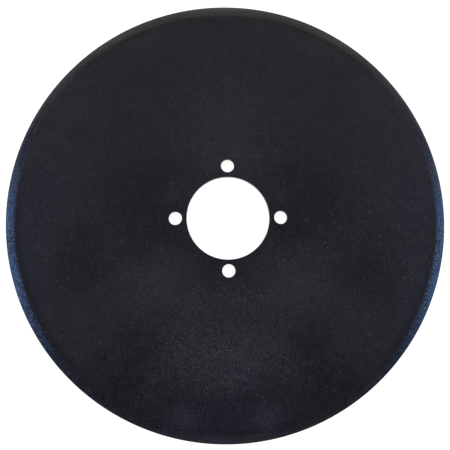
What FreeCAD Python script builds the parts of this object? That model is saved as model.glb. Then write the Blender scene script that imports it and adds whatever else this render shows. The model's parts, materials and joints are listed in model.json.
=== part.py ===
"""Disc coulter: the flat round knife that rolls ahead of a plough body and cuts the furrow slice free.

One piece of hardened steel plate, sharpened from both faces all round its rim. A hub's boss passes through the
large hole in its middle, and a ring of bolts holds the disc against the hub's flange.

Millimetres. The disc lies flat with +Z along its axis, and the origin is the centre of its lower face.
"""
import FreeCAD, Part

import math
import os

# The plate
disc_diameter = 450.0
plate_thickness = 5.0

# The sharpened rim, the same on both faces: a tight soft shoulder, a bevel that steepens outwards, and a blunt edge
bevel_width = 10.0
shoulder_radius = 4.0
crown_radius = 36.0
edge_thickness = 0.8
edge_round = 0.25

# The hub seat: the boss's bore, and the bolt holes in the ring of steel around it
hub_bore_diameter = 85.0
bolt_hole_diameter = 13.5
bore_to_bolt_hole = 4.75
bolt_count = 4
hole_edge_radius = 0.4

UPPER, LOWER = "upper face", "lower face"
disc_radius = disc_diameter / 2
bore_radius = hub_bore_diameter / 2
bolt_hole_radius = bolt_hole_diameter / 2
bolt_circle_radius = bore_radius + bore_to_bolt_hole + bolt_hole_radius
shoulder_start = disc_radius - bevel_width
bevel_drop = (plate_thickness - edge_thickness) / 2
centres_apart = crown_radius - shoulder_radius


def section_point(radius, depth, face):
    """A point of the disc's half section in the XZ plane, at a depth below that face."""
    height = plate_thickness - depth if face == UPPER else depth
    return FreeCAD.Vector(radius, 0, height)


def bevel_slopes():
    """The bevel's slope, in radians from the face, where the shoulder ends and where the cutting edge begins.

    The shoulder's arc leaves the face level, and the crown's arc carries on from it without a corner. So the two
    centres and the edge are the corners of a triangle with three known sides.
    """
    outward = bevel_width - edge_round
    upward = shoulder_radius - bevel_drop
    to_edge = math.hypot(outward, upward)
    at_shoulder_centre = math.acos(
        (to_edge**2 + centres_apart**2 - crown_radius**2) / (2 * to_edge * centres_apart)
    )
    shoulder_end = math.atan2(outward, upward) + at_shoulder_centre - math.pi
    crown_end = math.asin((outward + centres_apart * math.sin(shoulder_end)) / crown_radius)
    return shoulder_end, crown_end


def bevel(face):
    """One face's bevel in section: the shoulder's arc, then the crown's arc out to the cutting edge."""
    shoulder_end, crown_end = bevel_slopes()
    crown_centre_radius = shoulder_start - centres_apart * math.sin(shoulder_end)
    crown_centre_depth = shoulder_radius + centres_apart * math.cos(shoulder_end)

    def shoulder_at(slope):
        sunk = shoulder_radius * (1 - math.cos(slope))
        return section_point(shoulder_start + shoulder_radius * math.sin(slope), sunk, face)

    def crown_at(slope):
        sunk = crown_centre_depth - crown_radius * math.cos(slope)
        return section_point(crown_centre_radius + crown_radius * math.sin(slope), sunk, face)

    crown_middle = (shoulder_end + crown_end) / 2
    return [
        Part.Arc(shoulder_at(0), shoulder_at(shoulder_end / 2), shoulder_at(shoulder_end)),
        Part.Arc(crown_at(shoulder_end), crown_at(crown_middle), crown_at(crown_end)),
    ]


def sharpened_plate():
    """The plate with its hub bore and its sharpened rim, turned from one half section."""
    bore_foot = section_point(bore_radius, 0, LOWER)
    bore_head = section_point(bore_radius, 0, UPPER)
    upper_shoulder, upper_crown = bevel(UPPER)
    lower_shoulder, lower_crown = bevel(LOWER)
    tip = section_point(disc_radius, plate_thickness / 2, LOWER)
    outline = [
        Part.LineSegment(bore_foot, bore_head),
        Part.LineSegment(bore_head, upper_shoulder.StartPoint),
        upper_shoulder,
        upper_crown,
        Part.Arc(upper_crown.EndPoint, tip, lower_crown.EndPoint),
        lower_crown,
        lower_shoulder,
        Part.LineSegment(lower_shoulder.StartPoint, bore_foot),
    ]
    section = Part.Face(Part.Wire([curve.toShape() for curve in outline]))
    return section.revolve(FreeCAD.Vector(0, 0, 0), FreeCAD.Vector(0, 0, 1), 360)


def bolt_hole(index):
    """The cylinder that one bolt hole removes. The first hole is on +X, and the rest follow anticlockwise."""
    angle = 2 * math.pi * index / bolt_count
    foot = FreeCAD.Vector(bolt_circle_radius * math.cos(angle), bolt_circle_radius * math.sin(angle), 0)
    return Part.makeCylinder(bolt_hole_radius, plate_thickness, foot)


def hole_rims(disc):
    """The round edges where the bore and the bolt holes meet the two faces."""
    near = 1e-6

    def is_hole_rim(edge):
        if not isinstance(edge.Curve, Part.Circle):
            return False
        on_a_face = min(abs(edge.Curve.Center.z), abs(edge.Curve.Center.z - plate_thickness)) < near
        of_a_hole = min(abs(edge.Curve.Radius - radius) for radius in (bore_radius, bolt_hole_radius)) < near
        return on_a_face and of_a_hole

    return [edge for edge in disc.Edges if is_hole_rim(edge)]


def coulter_disc():
    """The whole disc: the sharpened plate with its bolt holes, and the raw edge taken off every hole."""
    disc = sharpened_plate().cut([bolt_hole(index) for index in range(bolt_count)])
    disc = disc.makeFillet(hole_edge_radius, hole_rims(disc))
    return disc.Solids[0]


os.makedirs("parts", exist_ok=True)
coulter_disc().exportStep("parts/coulter_disc.step")
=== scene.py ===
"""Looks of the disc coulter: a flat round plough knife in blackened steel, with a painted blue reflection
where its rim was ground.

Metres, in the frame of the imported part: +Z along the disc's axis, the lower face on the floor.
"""
import collections
import functools
import json
import math

import bpy
from mathutils import Matrix, Vector


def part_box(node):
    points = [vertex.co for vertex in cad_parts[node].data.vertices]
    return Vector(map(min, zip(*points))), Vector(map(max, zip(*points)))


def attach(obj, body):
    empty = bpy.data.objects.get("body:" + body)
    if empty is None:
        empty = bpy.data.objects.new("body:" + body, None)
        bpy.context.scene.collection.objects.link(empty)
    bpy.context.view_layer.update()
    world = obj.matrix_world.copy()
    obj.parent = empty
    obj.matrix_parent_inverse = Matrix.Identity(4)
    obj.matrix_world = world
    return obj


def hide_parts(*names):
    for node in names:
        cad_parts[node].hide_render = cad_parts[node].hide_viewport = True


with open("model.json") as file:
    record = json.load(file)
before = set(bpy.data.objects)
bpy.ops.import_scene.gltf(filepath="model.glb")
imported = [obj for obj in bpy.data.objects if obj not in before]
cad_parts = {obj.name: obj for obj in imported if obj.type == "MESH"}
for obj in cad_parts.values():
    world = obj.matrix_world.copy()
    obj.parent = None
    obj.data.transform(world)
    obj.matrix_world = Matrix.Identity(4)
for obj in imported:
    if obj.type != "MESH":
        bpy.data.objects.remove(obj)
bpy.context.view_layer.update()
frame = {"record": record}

bl_info = {
    "name": "Disc Coulter",
    "version": (1, 0, 0),
    "blender": (4, 5, 0),
    "location": "3D View > Sidebar > Coulter",
    "description": "Builds a plough's disc coulter in blackened steel, and a stage to see it on",
    "category": "Add Mesh",
}

MM = 0.001
disc_low, disc_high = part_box("coulter_disc")
mount_sizes = {mount["name"]: mount["dims"] for mount in frame["record"]["mounts"]}
hub_bore = mount_sizes["hub_bore"]
bolt_circle = mount_sizes["bolt_circle"]

# Which of the disc's materials a face wears
PLATE, WALL = 0, 1

# The patches' own frame: its middle and its turn
PATCH_MIDDLE = (-3.0 * MM, 0.0, 0.0)
PATCH_TURN = math.radians(0.8)

# Patches that are lighter and darker: partly stains in the black oxide, partly painted light, with a painted
# reflection in the lower middle and painted shade beside the hub and towards the lower sides. Each is an
# ellipse that fades out to its edge, in millimetres in the patches' frame, and lies both left and right of
# its middle.
Patch = collections.namedtuple("Patch", "across up half_width half_height change")
OXIDE_AND_LIGHT_PATCHES = (
    Patch(0, 88, 88, 100, 0.36),
    Patch(36, 148, 36, 36, 0.04),
    Patch(78, 114, 36, 30, 0.08),
    Patch(158, 125, 42, 42, 0.17),
    Patch(106, 186, 46, 32, 0.20),
    Patch(24, 212, 50, 22, -0.26),
    Patch(92, 18, 72, 60, -0.28),
    Patch(62, 44, 22, 20, -0.10),
    Patch(54, 24, 16, 18, 0.20),
    Patch(64, -14, 26, 20, -0.12),
    Patch(149, -42, 50, 66, -0.31),
    Patch(205, 0, 45, 110, -0.12),
    Patch(10, 64, 34, 24, 0.13),
    Patch(10, -42, 30, 22, -0.20),
    Patch(20, -58, 18, 14, -0.13),
    Patch(0, -78, 20, 20, 0.30),
    Patch(30, -84, 44, 18, 0.14),
    Patch(66, -70, 72, 52, 0.46),
    Patch(125, -92, 36, 34, 0.14),
    Patch(12, -133, 76, 66, 0.62),
    Patch(0, -122, 34, 16, -0.12),
    Patch(20, -164, 12, 14, 0.08),
    Patch(0, -162, 26, 16, 0.12),
    Patch(0, -188, 60, 18, -0.12),
    Patch(90, -130, 34, 40, -0.18),
    Patch(48, -170, 28, 22, -0.18),
    Patch(110, -168, 56, 46, -0.38),
    Patch(76, -194, 30, 22, -0.18),
    Patch(86, -176, 24, 16, -0.09),
)

# The same for one side only, where the two sides differ
LOPSIDED_PATCHES = (
    Patch(-160, 40, 110, 130, 0.09),
    Patch(-215, 10, 50, 110, 0.10),
    Patch(-185, -110, 40, 40, 0.08),
    Patch(-46, 24, 22, 20, 0.10),
    Patch(-100, -60, 22, 20, 0.10),
    Patch(-176, -36, 28, 26, 0.13),
    Patch(-183, 84, 24, 24, 0.14),
    Patch(-76, 100, 22, 18, 0.09),
    Patch(85, 145, 22, 18, 0.07),
    Patch(-100, 24, 20, 18, 0.08),
    Patch(-106, -141, 18, 18, 0.08),
    Patch(17, -166, 24, 18, 0.22),
    Patch(106, -40, 22, 20, 0.09),
    Patch(-59, -22, 18, 14, -0.14),
    Patch(80, -19, 24, 18, -0.18),
    Patch(-18, -81, 16, 14, -0.09),
    Patch(85, -102, 22, 20, -0.10),
    Patch(64, -122, 18, 16, -0.08),
    Patch(-80, -134, 22, 26, -0.09),
    Patch(164, -80, 50, 56, -0.16),
    Patch(206, -30, 22, 44, -0.12),
)

# Where the black has turned towards blue, violet and brown
BLUE_PATCHES = (
    Patch(225, -22, 76, 140, 0.85),
    Patch(190, -95, 40, 60, 0.4),
    Patch(152, -45, 46, 62, 0.15),
    Patch(180, 30, 42, 90, 0.3),
    Patch(100, 25, 60, 50, 0.15),
    Patch(114, -165, 44, 56, 0.15),
)
VIOLET_PATCHES = (
    Patch(0, -206, 140, 46, 0.8),
)
BROWN_PATCHES = (
    Patch(85, -66, 56, 42, 1.0),
    Patch(34, -112, 74, 54, 0.7),
    Patch(0, 90, 74, 64, 0.3),
)

# Where the tooth is coarser or finer, on both sides and on one side only, and where the clouds are stronger
COARSE_PATCHES = (
    Patch(0, -140, 100, 90, 0.5),
    Patch(110, 5, 90, 70, 0.35),
    Patch(205, 0, 60, 130, 0.6),
    Patch(120, -105, 60, 50, -0.25),
    Patch(60, -66, 50, 36, -0.2),
    Patch(92, -150, 50, 44, 0.5),
    Patch(155, -48, 50, 50, 0.6),
    Patch(40, 70, 36, 30, 0.4),
    Patch(0, -170, 44, 30, 0.3),
    Patch(0, -226, 80, 22, -0.5),
    Patch(76, 188, 50, 30, -0.35),
)
LOPSIDED_COARSE_PATCHES = (
    Patch(-150, -20, 140, 230, -0.22),
    Patch(-110, -140, 60, 60, -0.3),
    Patch(-100, 165, 60, 50, -0.16),
    Patch(150, -20, 140, 230, 0.24),
)
MOTTLED_PATCHES = (
    Patch(84, -155, 70, 56, 0.7),
)

# Marks with a clear shape of their own: a dark pit, and a pale, bluish and even spot at the foot
PIT = Patch(119, -140, 3.2, 2.2, -1.0)
PALE_SPOT = Patch(41, -202, 23, 22, 1.0)

# What the pale spot adds to the coarseness, lightness, blue and violet of the oxide
SPOT_TOOTH = -0.4
SPOT_LIGHTNESS = 0.56
SPOT_BLUE = 0.5
SPOT_VIOLET = -0.35

# What every colour in the settings has
COLOUR = {"size": 3, "min": 0.0, "max": 1.0, "subtype": "COLOR"}


class CoulterShape(bpy.types.PropertyGroup):
    """Sizes of the disc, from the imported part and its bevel's own section."""

    disc_radius: bpy.props.FloatProperty(
        name="Disc Radius",
        description="From the axis to the cutting edge",
        default=disc_high.x,
        unit="LENGTH",
    )
    plate_thickness: bpy.props.FloatProperty(
        name="Plate Thickness",
        description="From the lower face to the upper face",
        default=disc_high.z - disc_low.z,
        unit="LENGTH",
    )
    bevel_width: bpy.props.FloatProperty(
        name="Bevel Width",
        description="How far the sharpened rim reaches in from the cutting edge",
        default=10.0 * MM,
        unit="LENGTH",
    )
    shoulder_radius: bpy.props.FloatProperty(
        name="Shoulder Radius",
        description="Radius of the soft bend between the face and the bevel",
        default=4.0 * MM,
        unit="LENGTH",
    )
    crown_radius: bpy.props.FloatProperty(
        name="Crown Radius",
        description="Radius of the bevel's swell, in section",
        default=36.0 * MM,
        unit="LENGTH",
    )
    edge_thickness: bpy.props.FloatProperty(
        name="Edge Thickness",
        description="Thickness of the steel where the cutting edge is rounded over",
        default=0.8 * MM,
        unit="LENGTH",
    )
    edge_round: bpy.props.FloatProperty(
        name="Edge Round",
        description="How far the rounded cutting edge stands out",
        default=0.25 * MM,
        unit="LENGTH",
    )
    bore_radius: bpy.props.FloatProperty(
        name="Hub Bore Radius",
        description="Radius of the large hole in the middle",
        default=hub_bore["r_mm"] * MM,
        unit="LENGTH",
    )
    bolt_hole_radius: bpy.props.FloatProperty(
        name="Bolt Hole Radius",
        description="Radius of each small hole around the bore",
        default=bolt_circle["hole_r_mm"] * MM,
        unit="LENGTH",
    )
    bolt_circle_radius: bpy.props.FloatProperty(
        name="Bolt Circle Radius",
        description="From the axis to the middle of each bolt hole",
        default=bolt_circle["pcd_mm"] * MM / 2,
        unit="LENGTH",
    )
    bolt_count: bpy.props.IntProperty(
        name="Bolt Holes",
        description="How many bolt holes stand around the bore",
        default=bolt_circle["count"],
    )
    hole_edge_radius: bpy.props.FloatProperty(
        name="Hole Edge Radius",
        description="Radius where each hole meets a face",
        default=0.4 * MM,
        unit="LENGTH",
    )


class CoulterFinish(bpy.types.PropertyGroup):
    """Colours of the steel, and of the painted blue reflection on its rim."""

    oxide_colour: bpy.props.FloatVectorProperty(
        name="Black Oxide",
        description="The blackened face of the plate",
        default=(0.0157, 0.0148, 0.0209),
        **COLOUR,
    )
    blue_oxide_colour: bpy.props.FloatVectorProperty(
        name="Bluish Oxide",
        description="The plate where its black has turned towards blue",
        default=(0.0112, 0.0119, 0.0250),
        **COLOUR,
    )
    violet_oxide_colour: bpy.props.FloatVectorProperty(
        name="Violet Oxide",
        description="The plate where its black has turned towards violet",
        default=(0.0128, 0.0108, 0.0215),
        **COLOUR,
    )
    brown_oxide_colour: bpy.props.FloatVectorProperty(
        name="Brownish Oxide",
        description="The plate where its black has turned towards brown",
        default=(0.0167, 0.0153, 0.0194),
        **COLOUR,
    )
    ground_colour: bpy.props.FloatVectorProperty(
        name="Ground Steel",
        description="The bevel where it is plain grey",
        default=(0.0150, 0.0150, 0.0152),
        **COLOUR,
    )
    # The painted blue reflection on the bevel's two sides
    blue_reflection_colour: bpy.props.FloatVectorProperty(
        name="Blued Steel",
        description="The bevel where grinding heat has turned it blue",
        default=(0.0105, 0.0540, 0.1490),
        **COLOUR,
    )
    fleck_colour: bpy.props.FloatVectorProperty(
        name="Bright Flecks",
        description="The fine bright specks of bare metal",
        default=(0.300, 0.310, 0.330),
        **COLOUR,
    )


class CoulterStage(bpy.types.PropertyGroup):
    """Floor, light and camera."""

    floor_colour: bpy.props.FloatVectorProperty(
        name="Floor",
        description="The plain pale floor",
        default=(0.35, 0.35, 0.35),
        **COLOUR,
    )
    floor_glow: bpy.props.FloatProperty(
        name="Floor Glow",
        description="What the floor adds to its own colour to come out white, where 1 is white",
        default=0.88,
    )
    ceiling_level: bpy.props.FloatProperty(
        name="Ceiling Level",
        description="How bright the studio is overhead, where 1 is white",
        default=0.16,
    )
    wall_level: bpy.props.FloatProperty(
        name="Wall Level",
        description="How bright the studio is near the horizon, where 1 is white",
        default=0.95,
    )
    lens: bpy.props.FloatProperty(
        name="Lens",
        description="Focal length of the camera",
        default=40.0,
        subtype="DISTANCE_CAMERA",
    )
    camera_distance: bpy.props.FloatProperty(
        name="Camera Distance",
        description="From the camera to the place it looks at",
        default=0.515,
        unit="LENGTH",
    )
    camera_tilt: bpy.props.FloatProperty(
        name="Camera Tilt",
        description="How far the camera leans from straight above the disc",
        default=math.radians(5.13),
        subtype="ANGLE",
    )
    camera_azimuth: bpy.props.FloatProperty(
        name="Camera Azimuth",
        description="Towards which side the camera leans, where 0 is -Y and a quarter turn is +X",
        default=math.radians(-21.86),
        subtype="ANGLE",
    )
    camera_roll: bpy.props.FloatProperty(
        name="Camera Roll",
        description="How far the picture is turned, clockwise",
        default=math.radians(0.71),
        subtype="ANGLE",
    )
    camera_target: bpy.props.FloatVectorProperty(
        name="Camera Target",
        description="The place on the floor that the camera looks at",
        default=(-3.19 * MM, -6.95 * MM, 0.0),
        size=3,
        subtype="TRANSLATION",
    )


# The disc's surface

# Steps around the disc, across the ring of the bolt holes, and across the flat face outside it
ROUND_STEPS = 480
SEAT_ROWS = 16
FACE_ROWS = 14

# Steps of the sections' arcs, and up a hole's straight wall
SHOULDER_STEPS = 8
CROWN_STEPS = 12
NOSE_STEPS = 10
HOLE_EDGE_STEPS = 6
HOLE_WALL_STEPS = 4

SectionPoint = collections.namedtuple("SectionPoint", "radius height normal_out normal_up")


def section_arc(centre_radius, centre_height, radius, start, end, steps):
    """Points of an arc in the disc's half section.

    Its angles are from straight out, and up is a quarter turn.
    """
    points = []
    for step in range(steps + 1):
        angle = start + (end - start) * step / steps
        out, up = math.cos(angle), math.sin(angle)
        points.append(SectionPoint(centre_radius + radius * out, centre_height + radius * up, out, up))
    return points


def bevel_slopes(shape):
    """The bevel's slope, from the face, where the shoulder ends and where the cutting edge begins.

    The shoulder's and the crown's arcs meet without a corner, so their two centres and the edge are the
    corners of a triangle with three known sides.
    """
    centres_apart = shape.crown_radius - shape.shoulder_radius
    outward = shape.bevel_width - shape.edge_round
    upward = shape.shoulder_radius - (shape.plate_thickness - shape.edge_thickness) / 2
    to_edge = math.hypot(outward, upward)
    at_shoulder_centre = math.acos(
        (to_edge**2 + centres_apart**2 - shape.crown_radius**2) / (2 * to_edge * centres_apart)
    )
    shoulder_end = math.atan2(outward, upward) + at_shoulder_centre - math.pi
    crown_end = math.asin((outward + centres_apart * math.sin(shoulder_end)) / shape.crown_radius)
    return shoulder_end, crown_end


def rim_section(shape):
    """The sharpened rim in section: from the upper face, around the cutting edge, to the lower face."""
    quarter = math.pi / 2
    shoulder_end, crown_end = bevel_slopes(shape)
    thickness = shape.plate_thickness
    shoulder_out = shape.disc_radius - shape.bevel_width
    centres_apart = shape.crown_radius - shape.shoulder_radius
    crown_out = shoulder_out - centres_apart * math.sin(shoulder_end)
    crown_in = shape.shoulder_radius + centres_apart * math.cos(shoulder_end)
    half_edge = shape.edge_thickness / 2
    nose_radius = (half_edge**2 + shape.edge_round**2) / (2 * shape.edge_round)
    nose_half_turn = math.asin(half_edge / nose_radius)
    shoulder = (shape.shoulder_radius, quarter, quarter - shoulder_end, SHOULDER_STEPS)
    crown = (shape.crown_radius, quarter - shoulder_end, quarter - crown_end, CROWN_STEPS)
    nose = (nose_radius, nose_half_turn, -nose_half_turn, NOSE_STEPS)
    upper = section_arc(shoulder_out, thickness - shape.shoulder_radius, *shoulder)
    upper += section_arc(crown_out, thickness - crown_in, *crown)[1:]
    edge = section_arc(shape.disc_radius - nose_radius, thickness / 2, *nose)[1:-1]
    lower = [
        point._replace(height=thickness - point.height, normal_up=-point.normal_up)
        for point in reversed(upper)
    ]
    return upper + edge + lower


def hole_section(shape, radius):
    """A hole's wall in section, with its two rounded edges, from the lower face up to the upper face."""
    quarter = math.pi / 2
    rounding = shape.hole_edge_radius
    out = radius + rounding
    top = shape.plate_thickness - rounding
    lower = section_arc(out, rounding, rounding, 3 * quarter, 2 * quarter, HOLE_EDGE_STEPS)
    upper = section_arc(out, top, rounding, 2 * quarter, quarter, HOLE_EDGE_STEPS)
    between = [
        lower[-1]._replace(height=rounding + (top - rounding) * step / HOLE_WALL_STEPS)
        for step in range(1, HOLE_WALL_STEPS)
    ]
    return lower + between + upper


class Skin:
    """The disc's surface while it is made: its points, which way each faces, and the faces between them."""

    def __init__(self):
        self.points = []
        self.normals = []
        self.faces = []
        self.materials = []

    def point(self, place, normal):
        self.points.append(place)
        self.normals.append(normal)
        return len(self.points) - 1

    def face(self, corners, material):
        self.faces.append(corners)
        self.materials.append(material)

    def turned_loop(self, section_point, middle, directions):
        """A loop of points around an upright axis through middle, one for each direction."""
        return [
            self.point(
                middle + out * section_point.radius + Vector((0, 0, section_point.height)),
                out * section_point.normal_out + Vector((0, 0, section_point.normal_up)),
            )
            for out in directions
        ]

    def band(self, loop, next_loop, material):
        """The faces between two closed loops. Seen along the way from one to the next, they face left."""
        for here in range(len(loop)):
            after = (here + 1) % len(loop)
            self.face((loop[here], next_loop[here], next_loop[after], loop[after]), material)

    def bands(self, loops, material):
        for loop, next_loop in zip(loops, loops[1:]):
            self.band(loop, next_loop, material)


def around(steps):
    """Level directions, evenly spaced anticlockwise from +X."""
    turns = [math.tau * step / steps for step in range(steps)]
    return [Vector((math.cos(turn), math.sin(turn), 0)) for turn in turns]


def seat_ring(shape):
    """The inner and outer radius of the ring around the bore in which the bolt holes stand."""
    inner = shape.bore_radius + shape.hole_edge_radius
    return inner, 2 * shape.bolt_circle_radius - inner


def seat_columns(shape):
    """How many steps around the disc lie between a bolt hole's middle and the side of its opening."""
    inner, outer = seat_ring(shape)
    return round((outer - inner) / 2 / shape.bolt_circle_radius / (math.tau / ROUND_STEPS))


def seat_grid(skin, shape, up):
    """One face's ring around the bore, as a grid with an opening for each bolt hole.

    Returns its innermost and outermost loop, and the loop of points around each opening, anticlockwise.
    """
    inner, outer = seat_ring(shape)
    height = shape.plate_thickness if up > 0 else 0.0
    columns = seat_columns(shape)
    middles = [ROUND_STEPS * bolt // shape.bolt_count for bolt in range(shape.bolt_count)]

    def from_hole(column):
        steps = [(column - middle) % ROUND_STEPS for middle in middles]
        return min(steps + [ROUND_STEPS - step for step in steps])

    directions = around(ROUND_STEPS)
    grid = []
    for row in range(SEAT_ROWS + 1):
        radius = inner + (outer - inner) * row / SEAT_ROWS
        inside = 0 < row < SEAT_ROWS
        grid.append([
            None if inside and from_hole(column) < columns
            else skin.point(out * radius + Vector((0, 0, height)), Vector((0, 0, up)))
            for column, out in enumerate(directions)
        ])
    for row in range(SEAT_ROWS):
        for column in range(ROUND_STEPS):
            after = (column + 1) % ROUND_STEPS
            if max(from_hole(column), from_hole(after)) > columns:
                corners = (grid[row][column], grid[row + 1][column], grid[row + 1][after], grid[row][after])
                skin.face(corners if up > 0 else corners[::-1], PLATE)
    openings = []
    for middle in middles:
        first, last = middle - columns, middle + columns
        loop = [grid[SEAT_ROWS][column % ROUND_STEPS] for column in range(first, last)]
        loop += [grid[row][last % ROUND_STEPS] for row in range(SEAT_ROWS, 0, -1)]
        loop += [grid[0][column % ROUND_STEPS] for column in range(last, first, -1)]
        loop += [grid[row][first % ROUND_STEPS] for row in range(SEAT_ROWS)]
        openings.append(loop)
    return grid[0], grid[SEAT_ROWS], openings


def bolt_hole(skin, shape, middle, lower_opening, upper_opening):
    """One bolt hole: its wall with two rounded edges, and the flat steel out to its opening in each face."""
    directions = [(skin.points[index] - middle).to_2d().normalized().to_3d() for index in upper_opening]
    wall = [
        skin.turned_loop(section_point, middle, directions)
        for section_point in hole_section(shape, shape.bolt_hole_radius)
    ]
    skin.band(lower_opening, wall[0], PLATE)
    skin.bands(wall, WALL)
    skin.band(wall[-1], upper_opening, PLATE)


def flat_loops(skin, shape, up, seat_edge):
    """The loops of one flat face, from the ring around the bore out to the sharpened rim."""
    _, inner = seat_ring(shape)
    outer = shape.disc_radius - shape.bevel_width
    height = shape.plate_thickness if up > 0 else 0.0
    directions = around(ROUND_STEPS)
    loops = [seat_edge]
    for row in range(1, FACE_ROWS):
        radius = inner + (outer - inner) * row / FACE_ROWS
        loops.append(skin.turned_loop(SectionPoint(radius, height, 0, up), Vector(), directions))
    return loops


def disc_skin(shape):
    """The whole disc's surface, closed, with no point used twice."""
    skin = Skin()
    directions = around(ROUND_STEPS)
    upper_bore_edge, upper_seat_edge, upper_openings = seat_grid(skin, shape, 1)
    lower_bore_edge, lower_seat_edge, lower_openings = seat_grid(skin, shape, -1)
    upper_face = flat_loops(skin, shape, 1, upper_seat_edge)
    lower_face = flat_loops(skin, shape, -1, lower_seat_edge)
    rim = [skin.turned_loop(section_point, Vector(), directions) for section_point in rim_section(shape)]
    skin.bands(upper_face + rim[:1], PLATE)
    skin.bands(rim, PLATE)
    skin.bands(rim[-1:] + lower_face[::-1], PLATE)
    bore = [
        skin.turned_loop(section_point, Vector(), directions)
        for section_point in hole_section(shape, shape.bore_radius)[1:-1]
    ]
    skin.bands([lower_bore_edge, *bore, upper_bore_edge], WALL)
    for bolt, openings in enumerate(zip(lower_openings, upper_openings)):
        turn = math.tau * bolt / shape.bolt_count
        middle = Vector((math.cos(turn), math.sin(turn), 0)) * shape.bolt_circle_radius
        bolt_hole(skin, shape, middle, *openings)
    return skin


def disc_mesh(shape):
    """The disc as a smooth mesh, in which every point faces exactly the way the true surface does."""
    skin = disc_skin(shape)
    mesh = bpy.data.meshes.new("coulter_plate")
    mesh.from_pydata(skin.points, [], skin.faces)
    mesh.polygons.foreach_set("use_smooth", [True] * len(skin.faces))
    mesh.polygons.foreach_set("material_index", skin.materials)
    mesh.normals_split_custom_set_from_vertices(skin.normals)
    mesh.update()
    return mesh


# Nodes

def set_inputs(tree, node, inputs):
    """Gives a node's inputs values or links, by name or by place."""
    for key, value in dict(inputs).items():
        if isinstance(value, bpy.types.NodeSocket):
            tree.links.new(value, node.inputs[key])
        else:
            node.inputs[key].default_value = value


def add_node(tree, kind, inputs=(), **settings):
    """Adds a node, sets its options and its inputs, and returns it."""
    node = tree.nodes.new(kind)
    for name, value in settings.items():
        setattr(node, name, value)
    set_inputs(tree, node, inputs)
    return node


def maths(tree, operation, first, second=0.0):
    return add_node(tree, "ShaderNodeMath", {0: first, 1: second}, operation=operation).outputs[0]


def total(tree, *values):
    return functools.reduce(lambda first, second: maths(tree, "ADD", first, second), values)


def product(tree, *values):
    return functools.reduce(lambda first, second: maths(tree, "MULTIPLY", first, second), values)


def vector_maths(tree, operation, first, second):
    node = add_node(tree, "ShaderNodeVectorMath", {0: first, 1: second}, operation=operation)
    return node.outputs["Vector"]


def vector_length(tree, vector):
    return add_node(tree, "ShaderNodeVectorMath", {0: vector}, operation="LENGTH").outputs["Value"]


def vector_parts(tree, vector):
    """The X, Y and Z of a vector, by name."""
    return add_node(tree, "ShaderNodeSeparateXYZ", {0: vector}).outputs


def noise(tree, place, scale, detail=2.0, roughness=0.5, output="Fac"):
    """Soft blotches: one value around a half, or a colour of three such values."""
    inputs = {"Vector": place, "Scale": scale, "Detail": detail, "Roughness": roughness}
    return add_node(tree, "ShaderNodeTexNoise", inputs).outputs[output]


def noise_vector(tree, place, scale):
    """Soft blotches: a vector of three values around 0."""
    return vector_maths(tree, "SUBTRACT", noise(tree, place, scale, output="Color"), (0.5, 0.5, 0.5))


def soft_step(tree, value, start, end, low=0.0, high=1.0):
    """Goes smoothly from low to high while the value goes from start to end, and is level outside them."""
    limits = {"From Min": start, "From Max": end, "To Min": low, "To Max": high}
    node = add_node(tree, "ShaderNodeMapRange", {"Value": value, **limits}, interpolation_type="SMOOTHSTEP")
    return node.outputs["Result"]


def zone(tree, *steps):
    """The product of soft steps. Each has a value, a start and an end, and may have a low and a high."""
    return product(tree, *(soft_step(tree, *step) for step in steps))


def blend(tree, factor, first, second):
    """A mix of two colours, by a factor that varies from 0 to 1."""
    node = add_node(tree, "ShaderNodeMix", data_type="RGBA")
    sockets = {socket.identifier: socket for socket in node.inputs}
    tree.links.new(factor, sockets["Factor_Float"])
    for key, colour in (("A_Color", first), ("B_Color", second)):
        if isinstance(colour, bpy.types.NodeSocket):
            tree.links.new(colour, sockets[key])
        else:
            sockets[key].default_value = (*colour, 1.0)
    return next(socket for socket in node.outputs if socket.identifier == "Result_Color")


def scaled_colour(tree, colour, factor):
    """A colour or vector made stronger or weaker by a factor."""
    node = add_node(tree, "ShaderNodeVectorMath", {0: colour, "Scale": factor}, operation="SCALE")
    return node.outputs["Vector"]


def tinted(tree, colour, tint):
    """A colour with its red, green and blue made stronger or weaker by factors."""
    return vector_maths(tree, "MULTIPLY", colour, tint)


def new_group(name, inputs, outputs):
    """A node group with named sockets. Returns it and the sockets that its inputs come from."""
    group = bpy.data.node_groups.new(name, "ShaderNodeTree")
    kinds = {"value": "NodeSocketFloat", "vector": "NodeSocketVector", "colour": "NodeSocketColor"}
    for label, kind in inputs:
        group.interface.new_socket(label, in_out="INPUT", socket_type=kinds[kind])
    for label, kind in outputs:
        group.interface.new_socket(label, in_out="OUTPUT", socket_type=kinds[kind])
    return group, group.nodes.new("NodeGroupInput").outputs


def use_group(tree, group, inputs):
    """Places a node group in a tree, and returns its outputs."""
    return add_node(tree, "ShaderNodeGroup", inputs, node_tree=group).outputs


# The steel's finish

# A fleck's full core and its outer edge, in shares of the flecks' spacing
FLECK_CORE = 0.05
FLECK_EDGE = 0.22

# Noise scales, in blotches to the metre
WANDER_SCALE = 28.0
CLOUD_SCALE = 110.0
TINT_SCALE = 190.0
BLOTCH_SCALE = 45.0
REFLECTION_PATCH_SCALE = 34.0
RING_SCALE = 700.0

# How many times the rings break between the disc's middle height and its head
RING_BREAKS = 6.0

# How far the stains' outlines wander
WANDER_REACH = 30.0 * MM

# How strong the oxide's unevenness is where its tooth is fine, and what coarse tooth adds to that
Strength = collections.namedtuple("Strength", "fine added")
CLOUD_STRENGTH = Strength(0.25, 0.20)
GRAIN_STRENGTH = Strength(0.23, 0.26)
BLOTCH_STRENGTH = Strength(0.06, 0.24)
FLECK_STRENGTH = Strength(0.24, 0.48)

# How much the grains and the small tints differ in colour where the tooth is coarse
CAST_STRENGTH = 0.42
TINT_STRENGTH = 0.31

# How strong the grain and the flecks are on the rim's ground steel and in its painted blue reflection
GROUND_GRAIN = 0.20
BLUE_REFLECTION_GRAIN = 0.28
BLUE_REFLECTION_FLECKS = 0.3

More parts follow.
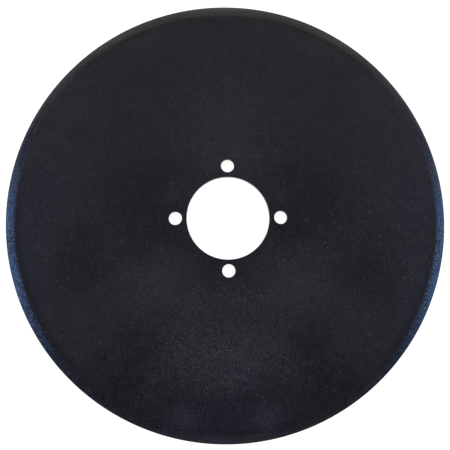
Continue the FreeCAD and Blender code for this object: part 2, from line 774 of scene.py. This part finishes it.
# What the red, green and blue of a colour are multiplied by
UNTINTED = (1.0, 1.0, 1.0)
COLD_TINT = (0.84, 1.0, 1.16)
WARM_TINT = (1.16, 1.0, 0.84)
# Painted shade just inside the rim
RIM_SHADE_TINT = (0.0, 0.0, 0.3)
# A painted dim blue reflection on the bevel, beside its bright blue
DIM_BLUE_REFLECTION_TINT = (0.40, 0.65, 1.15)
# Painted sheen on the bevel's lower sides and at its foot
LOWER_SIDES_SHEEN_TINT = (1.22, 1.22, 1.50)
FOOT_SHEEN_TINT = (1.70, 1.74, 1.42)
# Painted highlight along the cutting edge
EDGE_HIGHLIGHT_TINT = (1.05, 1.0, 0.95)
# Painted shade on the walls of the holes
WALL_PAINTED_SHADE = 0.9

# Where the face gives way to the bevel, outward from where the bevel begins
BEVEL_FADE = (-0.4 * MM, 1.8 * MM)

# How the steel mirrors, how strong its painted glints are, and its relief
STEEL_ROUGHNESS = (0.34, 0.42)
STEEL_SPECULAR = 0.14
PAINTED_GLINT_STRENGTH = 0.015
RELIEF_STRENGTH = 0.25
RELIEF_DEPTH = 0.05 * MM


def soft_patch_group():
    """One soft ellipse: 1 at its middle and 0 from its edge outwards."""
    inputs = (("Position", "vector"), ("Middle", "vector"), ("Half Size", "vector"))
    group, given = new_group("Soft Patch", inputs, (("Mask", "value"),))
    offset = vector_maths(group, "SUBTRACT", given["Position"], given["Middle"])
    reach = vector_length(group, vector_maths(group, "DIVIDE", offset, given["Half Size"]))
    add_node(group, "NodeGroupOutput", {"Mask": soft_step(group, reach, 0.0, 1.0, 1.0, 0.0)})
    return group


def steel_grain_group():
    """The fine tooth of blackened steel: grains from dark to light and cold to warm, bare flecks, relief."""
    inputs = (
        ("Position", "vector"), ("Grain Size", "value"), ("Fleck Spacing", "value"), ("Fleck Share", "value"),
    )
    outputs = (("Grain", "value"), ("Cast", "value"), ("Flecks", "value"), ("Relief", "value"))
    group, given = new_group("Steel Grain", inputs, outputs)
    position = given["Position"]
    grain_scale = maths(group, "DIVIDE", 1.0, given["Grain Size"])
    grains = add_node(group, "ShaderNodeTexVoronoi", {"Vector": position, "Scale": grain_scale})
    chance = add_node(group, "ShaderNodeSeparateColor", {0: grains.outputs["Color"]}).outputs

    # A few grains are much lighter than the rest: squares of evenly spread numbers, moved to a mean of 0
    grain = maths(group, "SUBTRACT", product(group, chance["Red"], chance["Red"], 3.0), 1.0)

    fleck_scale = maths(group, "DIVIDE", 1.0, given["Fleck Spacing"])
    cells = add_node(group, "ShaderNodeTexVoronoi", {"Vector": position, "Scale": fleck_scale})
    pick = add_node(group, "ShaderNodeSeparateColor", {0: cells.outputs["Color"]}).outputs
    picked = maths(group, "LESS_THAN", pick["Red"], given["Fleck Share"])
    dot = soft_step(group, cells.outputs["Distance"], FLECK_CORE, FLECK_EDGE, 1.0, 0.0)
    flecks = product(group, picked, dot, pick["Green"])
    relief = noise(group, position, grain_scale, roughness=0.65)
    results = {"Grain": grain, "Cast": chance["Green"], "Flecks": flecks, "Relief": relief}
    add_node(group, "NodeGroupOutput", results)
    return group


def disc_place_group():
    """Where a point of the disc lies: its radius, and its way around, as 1 at the head and -1 at the foot."""
    inputs = (("Position", "vector"),)
    group, given = new_group("Disc Place", inputs, (("Radius", "value"), ("Up", "value")))
    level = vector_maths(group, "MULTIPLY", given["Position"], (1, 1, 0))
    radius = vector_length(group, level)
    up = maths(group, "DIVIDE", vector_parts(group, level)["Y"], radius)
    add_node(group, "NodeGroupOutput", {"Radius": radius, "Up": up})
    return group


def folded(tree, place):
    """A place with its left half laid over its right, so that both halves get the same patches."""
    parts = vector_parts(tree, place)
    across = maths(tree, "ABSOLUTE", parts["X"])
    return add_node(tree, "ShaderNodeCombineXYZ", {"X": across, "Y": parts["Y"]}).outputs["Vector"]


def patch_places(tree, position):
    """A position in the patches' own frame: where their outlines wander, the same folded, and folded only."""
    inputs = {"Vector": vector_maths(tree, "SUBTRACT", position, PATCH_MIDDLE), "Angle": PATCH_TURN}
    turned = add_node(tree, "ShaderNodeVectorRotate", inputs, rotation_type="Z_AXIS").outputs["Vector"]
    wander = scaled_colour(tree, noise_vector(tree, position, WANDER_SCALE), WANDER_REACH)
    wandering = vector_maths(tree, "ADD", turned, wander)
    return wandering, folded(tree, wandering), folded(tree, turned)


def strength_where(tree, coarse, strength):
    """A strength that grows with the coarseness of the tooth."""
    return total(tree, product(tree, coarse, strength.added), strength.fine)


def uneven_tint(tree, colour, position, coarse, cast):
    """A colour with the oxide's small differences in tint, which are strongest where its tooth is coarse."""
    spread = product(tree, coarse, coarse)
    grains = blend(tree, cast, COLD_TINT, WARM_TINT)
    grains = blend(tree, product(tree, spread, CAST_STRENGTH), UNTINTED, grains)

    # Small tints of every colour, and wide blotches from brown to blue
    small = noise_vector(tree, position, TINT_SCALE)
    small = scaled_colour(tree, small, product(tree, spread, TINT_STRENGTH))
    blotches = maths(tree, "SUBTRACT", noise(tree, position, BLOTCH_SCALE, detail=3.0, roughness=0.65), 0.5)
    blueness = product(tree, blotches, strength_where(tree, coarse, BLOTCH_STRENGTH))
    change = vector_maths(tree, "ADD", small, scaled_colour(tree, (-1.0, 0.0, 1.0), blueness))
    return tinted(tree, tinted(tree, colour, grains), vector_maths(tree, "ADD", change, UNTINTED))


def oxide_group(finish, soft_patch, steel_grain):
    """Blackened steel, as it covers the whole disc: its stains and painted light, its tints, its grain and
    its flecks.
    """
    outputs = (("Color", "colour"), ("Roughness", "value"), ("Relief", "value"))
    group, given = new_group("Blackened Steel", (("Position", "vector"),), outputs)
    position = given["Position"]
    one_sided, both_sides, unmoved = patch_places(group, position)

    def patches(which, place=both_sides):
        changes = []
        for patch in which:
            mask = use_group(group, soft_patch, {
                "Position": place,
                "Middle": (patch.across * MM, patch.up * MM, 0),
                "Half Size": (patch.half_width * MM, patch.half_height * MM, 1),
            })["Mask"]
            changes.append(product(group, mask, patch.change))
        return total(group, *changes)

    pale_spot = patches((PALE_SPOT,), unmoved)

    # From the disc's head to its foot the tooth grows coarser, and most in the middle of the foot
    up = vector_parts(group, one_sided)["Y"]
    coarse = soft_step(group, up, 200.0 * MM, -200.0 * MM, 0.0, 0.8)
    coarse = total(group, coarse, product(group, pale_spot, SPOT_TOOTH))
    coarse = total(group, coarse, patches(COARSE_PATCHES), patches(LOPSIDED_COARSE_PATCHES, one_sided))

    # The lighter and darker patches: stains, with a painted reflection and painted shade among them
    stains_and_light = total(group, patches(OXIDE_AND_LIGHT_PATCHES), patches(LOPSIDED_PATCHES, one_sided))
    stains_and_light = total(group, stains_and_light, patches((PIT,), unmoved), product(group, pale_spot, SPOT_LIGHTNESS))
    clouds = noise(group, position, CLOUD_SCALE, detail=3.0, roughness=0.6)
    cloud_strength = total(group, strength_where(group, coarse, CLOUD_STRENGTH), patches(MOTTLED_PATCHES))
    cloud = product(group, maths(group, "SUBTRACT", clouds, 0.5), cloud_strength)
    shade = product(group, total(group, stains_and_light, 1.0), total(group, cloud, 1.0))
    blue = total(group, patches(BLUE_PATCHES), product(group, pale_spot, SPOT_BLUE))
    violet = total(group, patches(VIOLET_PATCHES), product(group, pale_spot, SPOT_VIOLET))
    colour = blend(group, blue, finish.oxide_colour, finish.blue_oxide_colour)
    colour = blend(group, violet, colour, finish.violet_oxide_colour)
    colour = blend(group, patches(BROWN_PATCHES), colour, finish.brown_oxide_colour)

    grain = use_group(group, steel_grain, {
        "Position": position, "Grain Size": 0.7 * MM, "Fleck Spacing": 2.6 * MM, "Fleck Share": 0.16,
    })
    speckle = product(group, grain["Grain"], strength_where(group, coarse, GRAIN_STRENGTH))
    colour = scaled_colour(group, colour, product(group, shade, total(group, speckle, 1.0)))
    colour = uneven_tint(group, colour, position, coarse, grain["Cast"])
    flecks = product(group, grain["Flecks"], strength_where(group, coarse, FLECK_STRENGTH))
    colour = blend(group, flecks, colour, finish.fleck_colour)
    roughness = soft_step(group, clouds, 0.2, 0.8, *STEEL_ROUGHNESS)
    add_node(group, "NodeGroupOutput", {"Color": colour, "Roughness": roughness, "Relief": grain["Relief"]})
    return group


def steel_material(name, oxide):
    """A new material. Returns it, the place on the disc, and the oxide there."""
    material = bpy.data.materials.new(name)
    material.use_nodes = True
    tree = material.node_tree
    position = tree.nodes.new("ShaderNodeTexCoord").outputs["Object"]
    return material, position, use_group(tree, oxide, {"Position": position})


def shade_steel(tree, colour, coat):
    """Gives a colour to the material's shader, with the oxide's roughness and relief."""
    relief = {"Height": coat["Relief"], "Strength": RELIEF_STRENGTH, "Distance": RELIEF_DEPTH}
    set_inputs(tree, tree.nodes["Principled BSDF"], {
        "Base Color": colour,
        "Roughness": coat["Roughness"],
        "Specular IOR Level": STEEL_SPECULAR,
        "Normal": add_node(tree, "ShaderNodeBump", relief).outputs["Normal"],
    })


# In what follows, up is 1 at the disc's head and -1 at its foot, and outward starts where the bevel does

def shaded_inner_rim(tree, colour, up, outward):
    """The face just inside the rim with painted shade, darker and bluer, most at the two sides."""
    at_sides = zone(tree, (up, 0.42, -0.20, 0.0, 0.5), (up, -0.82, -0.60))
    at_foot = soft_step(tree, up, -0.70, -0.95, 0.0, 0.2)
    rim_shade = product(tree, total(tree, at_sides, at_foot), soft_step(tree, outward, -10.0 * MM, 0.0))
    return blend(tree, rim_shade, colour, tinted(tree, colour, RIM_SHADE_TINT))


def ring_noise(tree, radius, up):
    """Noise that is drawn out along the rim, like the marks of a grinding wheel."""
    place = {"X": product(tree, radius, RING_SCALE), "Y": product(tree, up, RING_BREAKS)}
    return noise(tree, add_node(tree, "ShaderNodeCombineXYZ", place).outputs["Vector"], 1.0)


def ground_head_and_reflection(tree, colour, up, outward, radius, grain, finish):
    """The plain ground steel of the disc's head: its grinding rings, with a painted highlight line and
    painted reflection in dark bands and pale streaks.
    """
    share = zone(tree, (up, 0.62, 0.80), (outward, -6.0 * MM, -0.2 * MM))
    rings = soft_step(tree, ring_noise(tree, radius, up), 0.3, 0.7, 0.76, 1.24)
    painted_highlight_line = zone(
        tree, (up, 0.978, 0.996, 0.0, 0.5), (outward, -1.6 * MM, 0.4 * MM), (outward, 2.8 * MM, 0.8 * MM)
    )

    # Each painted dark band of reflection narrows towards the cutting edge where the painted pale streak
    # begins beside it
    beyond_band_start = maths(tree, "SUBTRACT", outward, soft_step(tree, up, 0.95, 0.88, 1.6 * MM, 4.2 * MM))
    painted_dark_band = zone(
        tree, (up, 0.845, 0.885), (up, 0.990, 0.968), (beyond_band_start, 0.0, 1.8 * MM, 0.0, -0.32)
    )
    painted_pale_streak = zone(
        tree,
        (up, 0.745, 0.850),
        (up, 0.925, 0.870),
        (outward, 1.2 * MM, 2.8 * MM),
        (outward, 3.5 * MM, 7.0 * MM, 0.45, 0.34),
    )
    tone = total(tree, product(tree, grain, GROUND_GRAIN), rings, painted_highlight_line, painted_dark_band, painted_pale_streak)
    return blend(tree, share, colour, scaled_colour(tree, finish.ground_colour, tone))


def painted_bevel_sheen(tree, colour, up, outward):
    """The bevel's painted sheen, where it is only a little lighter than the face: beside the head's grey, and
    at the foot.
    """
    sheen_upper_sides = zone(tree, (up, 0.74, 0.66), (up, 0.48, 0.58, 0.0, 0.2), (outward, *BEVEL_FADE))
    colour = scaled_colour(tree, colour, total(tree, sheen_upper_sides, 1.0))
    sheen_lower_sides = zone(tree, (up, -0.55, -0.80), (up, -0.91, -0.80), (outward, 0.5 * MM, 5.0 * MM))
    colour = blend(tree, sheen_lower_sides, colour, tinted(tree, colour, LOWER_SIDES_SHEEN_TINT))
    foot = zone(
        tree, (up, -0.975, -1.0), (outward, 0.2 * MM, 2.2 * MM), (outward, 4.0 * MM, 8.0 * MM, 1.0, 0.55)
    )
    return blend(tree, foot, colour, tinted(tree, colour, FOOT_SHEEN_TINT))


def blue_reflection_rim(tree, colour, up, outward, position, grain, finish):
    """The bevel's two sides with a painted blue reflection, which runs from a dim blue tint to bright blue.
    """
    dim_blue_reflection = zone(tree, (up, 0.50, 0.38), (up, 0.16, 0.30), (outward, 0.0, 3.5 * MM))
    colour = blend(tree, dim_blue_reflection, colour, tinted(tree, colour, DIM_BLUE_REFLECTION_TINT))

    # Towards the foot the painted blue reflection keeps closer to the cutting edge
    painted_blue_sides = zone(tree, (up, 0.37, -0.02), (up, -0.76, -0.28))
    reach = maths(tree, "SUBTRACT", outward, soft_step(tree, up, -0.35, -0.62, 0.0, 1.1 * MM))
    at_edge = zone(tree, (up, 0.12, 0.22, 0.4, 0.3), (reach, 1.8 * MM, 7.0 * MM))
    depth = total(tree, soft_step(tree, reach, -1.2 * MM, 3.4 * MM, 0.0, 0.6), at_edge)
    # Patchiness in the painted blue reflection
    reflection_patchiness = soft_step(tree, noise(tree, position, REFLECTION_PATCH_SCALE), 0.35, 0.65, 0.82, 1.18)
    tone = total(tree, product(tree, grain["Grain"], BLUE_REFLECTION_GRAIN), reflection_patchiness)
    blue = scaled_colour(tree, finish.blue_reflection_colour, tone)
    blue = blend(tree, product(tree, grain["Flecks"], BLUE_REFLECTION_FLECKS), blue, finish.fleck_colour)
    return blend(tree, product(tree, painted_blue_sides, depth), colour, blue)


def painted_edge_highlight(tree, colour, up, inward):
    """A painted highlight along the cutting edge: at the very head and down the sides, not at the foot."""
    along = total(
        tree,
        soft_step(tree, up, 0.80, 0.44, 0.003, 0.018),
        soft_step(tree, up, 0.90, 0.96, 0.0, 0.004),
        soft_step(tree, up, 0.985, 1.0, 0.0, 0.013),
    )
    bare = product(tree, along, soft_step(tree, up, -0.80, 0.20), soft_step(tree, inward, 4.5 * MM, 1.7 * MM))
    wide = zone(tree, (up, 0.50, 0.44), (up, 0.33, 0.40), (inward, 5.2 * MM, 3.2 * MM, 0.0, 0.005))
    edge_highlight = scaled_colour(tree, EDGE_HIGHLIGHT_TINT, total(tree, bare, wide))
    return vector_maths(tree, "ADD", colour, edge_highlight)


def painted_rim_glints(tree, colour, up, outward, grain):
    """The bevel's painted glints: its grains shine unevenly in its colour, most where it is blue."""
    painted_blue_sides = zone(tree, (up, 0.26, -0.10, 0.0, 1.25), (up, -0.72, -0.30))
    sheen_upper_sides = zone(tree, (up, 0.60, 0.34, 0.15, 0.75), (up, 0.10, 0.30, 0.65, 1.0))
    above_foot = soft_step(tree, up, -1.0, -0.80, 0.10, 1.0)
    on_bevel = soft_step(tree, outward, *BEVEL_FADE, 0.0, PAINTED_GLINT_STRENGTH)
    painted_glint = product(tree, total(tree, painted_blue_sides, sheen_upper_sides), above_foot, on_bevel, grain)
    shining = vector_maths(tree, "ADD", colour, scaled_colour(tree, (1.0, 1.0, 1.0), painted_glint))
    return vector_maths(tree, "MAXIMUM", shining, (0.0, 0.0, 0.0))


def plate_material(shape, finish, oxide, steel_grain, disc_place):
    """The faces and the sharpened rim, ground grey at the disc's head, with a painted blue reflection at its
    two sides, painted shade just inside the rim, and painted sheen, highlights and glints on it.
    """
    material, position, coat = steel_material("steel_plate", oxide)
    tree = material.node_tree
    place = use_group(tree, disc_place, {"Position": position})
    up = place["Up"]
    outward = maths(tree, "SUBTRACT", place["Radius"], shape.disc_radius - shape.bevel_width)
    grain = use_group(tree, steel_grain, {
        "Position": position, "Grain Size": 0.9 * MM, "Fleck Spacing": 1.6 * MM, "Fleck Share": 0.3,
    })

    colour = shaded_inner_rim(tree, coat["Color"], up, outward)
    colour = ground_head_and_reflection(tree, colour, up, outward, place["Radius"], grain["Grain"], finish)
    colour = painted_bevel_sheen(tree, colour, up, outward)
    colour = blue_reflection_rim(tree, colour, up, outward, position, grain, finish)
    colour = painted_edge_highlight(tree, colour, up, maths(tree, "SUBTRACT", shape.disc_radius, place["Radius"]))
    colour = painted_rim_glints(tree, colour, up, outward, grain["Grain"])
    shade_steel(tree, colour, coat)
    return material


def wall_material(oxide):
    """The walls of the holes, a little darker than the faces, as painted shade."""
    material, _, coat = steel_material("hole_wall", oxide)
    tree = material.node_tree
    shade_steel(tree, scaled_colour(tree, coat["Color"], WALL_PAINTED_SHADE), coat)
    return material


# The stage

def floor_material(stage):
    """A pale floor that comes out white where it is looked at or mirrored, and keeps the disc's shadow."""
    material = bpy.data.materials.new("studio_floor")
    material.use_nodes = True
    tree = material.node_tree
    tree.nodes.clear()
    light_path = tree.nodes.new("ShaderNodeLightPath").outputs
    seen = maths(tree, "MAXIMUM", light_path["Is Camera Ray"], light_path["Is Glossy Ray"])
    seen = maths(tree, "MAXIMUM", seen, light_path["Is Transmission Ray"])
    strength = product(tree, seen, stage.floor_glow)
    matt = add_node(tree, "ShaderNodeBsdfDiffuse", {"Color": (*stage.floor_colour, 1.0)}).outputs["BSDF"]
    glow = add_node(tree, "ShaderNodeEmission", {"Color": (1, 1, 1, 1), "Strength": strength})
    both = add_node(tree, "ShaderNodeAddShader", {0: matt, 1: glow.outputs["Emission"]}).outputs["Shader"]
    add_node(tree, "ShaderNodeOutputMaterial", {"Surface": both})
    return material


FLOOR_RADIUS = 40.0
FLOOR_DROP = 0.02 * MM
FLOOR_STEPS = 96


def add_object(name, data):
    """A new object in the scene."""
    thing = bpy.data.objects.new(name, data)
    bpy.context.scene.collection.objects.link(thing)
    return thing


def build_floor(stage):
    """A wide round floor just under the disc."""
    mesh = bpy.data.meshes.new("studio_floor")
    rim = [out * FLOOR_RADIUS - Vector((0, 0, FLOOR_DROP)) for out in around(FLOOR_STEPS)]
    mesh.from_pydata(rim, [], [tuple(range(len(rim)))])
    mesh.materials.append(floor_material(stage))
    floor = add_object("studio_floor", mesh)


Lamp = collections.namedtuple("Lamp", "name azimuth elevation distance width height watts")
LAMPS = (
    Lamp("head_lamp", 90, 30, 1.5, 2.6, 0.6, 15),
    Lamp("left_lamp", 180, 40, 1.5, 1.0, 0.8, 8),
    Lamp("right_lamp", 0, 40, 1.5, 1.0, 0.8, 8),
    Lamp("foot_lamp", 270, 20, 1.5, 1.6, 0.5, 4),
)


def build_lamp(lamp):
    """A soft box that points at the middle of the disc. Its azimuth is anticlockwise from +X."""
    data = bpy.data.lights.new(lamp.name, "AREA")
    data.shape = "RECTANGLE"
    data.size = lamp.width
    data.size_y = lamp.height
    data.energy = lamp.watts
    azimuth, elevation = math.radians(lamp.azimuth), math.radians(lamp.elevation)
    level = math.cos(elevation)
    out = Vector((math.cos(azimuth) * level, math.sin(azimuth) * level, math.sin(elevation)))
    light = add_object(lamp.name, data)
    light.location = out * lamp.distance
    light.rotation_euler = out.to_track_quat("Z", "Y").to_euler()


# Where the walls' level ends and the ceiling's begins, as the sine of the angle upwards
WALLS_END = 0.10
CEILING_START = 0.45


def build_world(stage):
    """A studio with pale walls and a dim ceiling."""
    world = bpy.data.worlds.new("studio")
    world.use_nodes = True
    tree = world.node_tree
    direction = tree.nodes.new("ShaderNodeTexCoord").outputs["Generated"]
    up = vector_parts(tree, direction)["Z"]
    level = soft_step(tree, up, WALLS_END, CEILING_START, stage.wall_level, stage.ceiling_level)
    set_inputs(tree, tree.nodes["Background"], {"Color": (1, 1, 1, 1), "Strength": level})
    bpy.context.scene.world = world


CLIP_START = 10.0 * MM


def build_camera(stage):
    """A camera nearly straight above the disc."""
    data = bpy.data.cameras.new("camera")
    data.lens = stage.lens
    data.clip_start = CLIP_START
    data.clip_end = 4 * FLOOR_RADIUS
    lean = Vector((
        math.sin(stage.camera_azimuth) * math.sin(stage.camera_tilt),
        -math.cos(stage.camera_azimuth) * math.sin(stage.camera_tilt),
        math.cos(stage.camera_tilt),
    ))
    right = Vector((0, 1, 0)).cross(lean).normalized()
    facing = Matrix((right, lean.cross(right), lean)).transposed()
    facing @= Matrix.Rotation(-stage.camera_roll, 3, "Z")
    place = Vector(stage.camera_target) + lean * stage.camera_distance
    camera = add_object("camera", data)
    camera.matrix_world = Matrix.Translation(place) @ facing.to_4x4()
    bpy.context.scene.camera = camera


# The add-on's operators and panel

class COULTER_OT_plate(bpy.types.Operator):
    """Builds the coulter's disc and finishes its steel"""

    bl_idname = "coulter.plate"
    bl_label = "Build Disc"

    def execute(self, context):
        shape = context.scene.coulter_shape
        finish = context.scene.coulter_finish
        soft_patch = soft_patch_group()
        steel_grain = steel_grain_group()
        oxide = oxide_group(finish, soft_patch, steel_grain)
        mesh = disc_mesh(shape)
        mesh.materials.append(plate_material(shape, finish, oxide, steel_grain, disc_place_group()))
        mesh.materials.append(wall_material(oxide))
        plate = add_object("coulter_plate", mesh)
        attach(plate, "root")
        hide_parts("coulter_disc")
        return {"FINISHED"}


class COULTER_OT_stage(bpy.types.Operator):
    """Lays the floor, hangs the lamps and sets up the camera"""

    bl_idname = "coulter.stage"
    bl_label = "Build Stage"

    def execute(self, context):
        stage = context.scene.coulter_stage
        build_floor(stage)
        for lamp in LAMPS:
            build_lamp(lamp)
        build_world(stage)
        build_camera(stage)
        context.scene.view_settings.view_transform = "Standard"
        return {"FINISHED"}


class COULTER_PT_sidebar(bpy.types.Panel):
    """The coulter's sizes, colours and stage"""

    bl_label = "Disc Coulter"
    bl_idname = "COULTER_PT_sidebar"
    bl_space_type = "VIEW_3D"
    bl_region_type = "UI"
    bl_category = "Coulter"

    def draw(self, context):
        scene = context.scene
        for settings in (scene.coulter_shape, scene.coulter_finish, scene.coulter_stage):
            column = self.layout.column()
            for name in settings.__annotations__:
                column.prop(settings, name)
        self.layout.operator(COULTER_OT_plate.bl_idname)
        self.layout.operator(COULTER_OT_stage.bl_idname)


CLASSES = (CoulterShape, CoulterFinish, CoulterStage, COULTER_OT_plate, COULTER_OT_stage, COULTER_PT_sidebar)


def register():
    for each in CLASSES:
        bpy.utils.register_class(each)
    bpy.types.Scene.coulter_shape = bpy.props.PointerProperty(type=CoulterShape)
    bpy.types.Scene.coulter_finish = bpy.props.PointerProperty(type=CoulterFinish)
    bpy.types.Scene.coulter_stage = bpy.props.PointerProperty(type=CoulterStage)


def unregister():
    del bpy.types.Scene.coulter_stage
    del bpy.types.Scene.coulter_finish
    del bpy.types.Scene.coulter_shape
    for each in reversed(CLASSES):
        bpy.utils.unregister_class(each)


def main():
    register()
    bpy.ops.coulter.plate()
    bpy.ops.coulter.stage()


if __name__ == "__main__":
    main()
